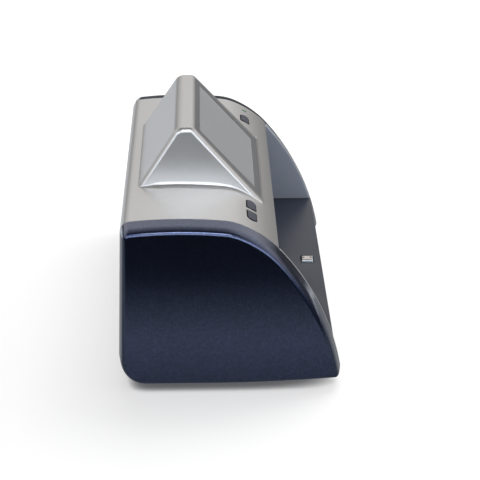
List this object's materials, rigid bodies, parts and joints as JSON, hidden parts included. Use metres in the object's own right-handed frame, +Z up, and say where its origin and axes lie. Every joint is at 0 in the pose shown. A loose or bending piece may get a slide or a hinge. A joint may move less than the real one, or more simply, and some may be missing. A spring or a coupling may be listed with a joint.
{
  "type": "banknote checker",
  "caption": "Table-top banknote checker: a hooded viewing chamber open at the front, a sloping screen in a ridge on top, rounded end caps, push keys and a sprung magnetic head in the floor.",
  "frame": {"origin": "on the desk, under the middle of the body's width and depth", "axes": "+X to the operator's right, +Y to the back, +Z up; the chamber opens towards -Y"},
  "size_m": [0.278, 0.145, 0.153],
  "materials": {
    "housing": "satin silver paint",
    "side_frame": "satin silver paint",
    "end_cap": "metallic dark blue paint with a fine sparkle",
    "base": "fine moulded texture",
    "chamber_floor": "semi-gloss charcoal",
    "chamber_lining": "fine matt grey",
    "rubber": "matt",
    "screen_frame": "fine matt grey",
    "pane": "clear with an anti-glare coat",
    "gasket": "closed-cell foam",
    "display": "unlit grey display",
    "spacer": "moulded",
    "circuit_board": "green solder mask",
    "flat_cable": "ribbon insulation",
    "key": "fine matt dark grey",
    "switch": "moulded black with a steel cover",
    "light": "translucent green",
    "chip": "moulded resin",
    "bright_steel": "fine brushed",
    "spring_steel": "drawn wire",
    "head_face": "lapped cream resin",
    "inner_plastic": "moulded black",
    "lens": "black barrel",
    "infrared_lamp": "dark translucent resin",
    "uv_lamp": "clear violet resin",
    "uv_filter": "dark violet filter glass",
    "capacitor": "printed sleeve",
    "connector": "nylon"
  },
  "bodies": {
    "casing": {"top_housing": "housing", "left_side_frame": "side_frame", "right_side_frame": "side_frame", "left_end_cap": "end_cap", "right_end_cap": "end_cap", "base_pan": "base", "rubber_feet": "rubber", "chamber_floor": "chamber_floor", "left_chamber_wall": "chamber_lining", "right_chamber_wall": "chamber_lining", "chamber_back_wall": "chamber_lining", "chamber_ceiling": "chamber_lining", "screen_frame": "screen_frame", "screen_pane": "pane", "display_gasket": "gasket", "display_panel": "display", "display_spacers": "spacer", "display_board": "circuit_board", "display_cable": "flat_cable", "key_switches": "switch", "power_key_board": "circuit_board", "function_key_board": "circuit_board", "power_light_lens": "light", "power_light_chip": "chip", "head_guide": "inner_plastic", "head_spring": "spring_steel", "camera_board": "circuit_board", "camera_lens": "lens", "infrared_board": "circuit_board", "infrared_lamps": "infrared_lamp", "ultraviolet_board": "circuit_board", "ultraviolet_lamps": "uv_lamp", "ultraviolet_filter": "uv_filter", "main_board": "circuit_board", "processor_shield": "bright_steel", "board_capacitors": "capacitor", "board_connectors": "connector", "board_chips": "chip", "power_socket": "inner_plastic", "buzzer": "inner_plastic", "case_screws": "bright_steel", "board_screws": "bright_steel"},
    "power_key_body": {"power_key": "key", "power_plunger": "switch"},
    "left_function_key_body": {"left_function_key": "key", "left_function_plunger": "switch"},
    "right_function_key_body": {"right_function_key": "key", "right_function_plunger": "switch"},
    "magnetic_head_body": {"magnetic_head": "bright_steel", "head_face": "head_face", "head_holder": "inner_plastic"}
  },
  "joints": [
    {"name": "power_key_press", "type": "slide", "parent": "casing", "child": "power_key_body", "axis": [0, 0.4939, -0.8695], "range_m": [0, 0.0006], "stiffness_N_per_m": 2600},
    {"name": "left_function_key_press", "type": "slide", "parent": "casing", "child": "left_function_key_body", "axis": [0, 0.4939, -0.8695], "range_m": [0, 0.0006], "stiffness_N_per_m": 2600},
    {"name": "right_function_key_press", "type": "slide", "parent": "casing", "child": "right_function_key_body", "axis": [0, 0.4939, -0.8695], "range_m": [0, 0.0006], "stiffness_N_per_m": 2600},
    {"name": "magnetic_head_plunge", "type": "slide", "parent": "casing", "child": "magnetic_head_body", "axis": [0, 0, -1], "range_m": [0, 0.0008], "stiffness_N_per_m": 600, "deforming": ["head_spring"]}
  ]
}
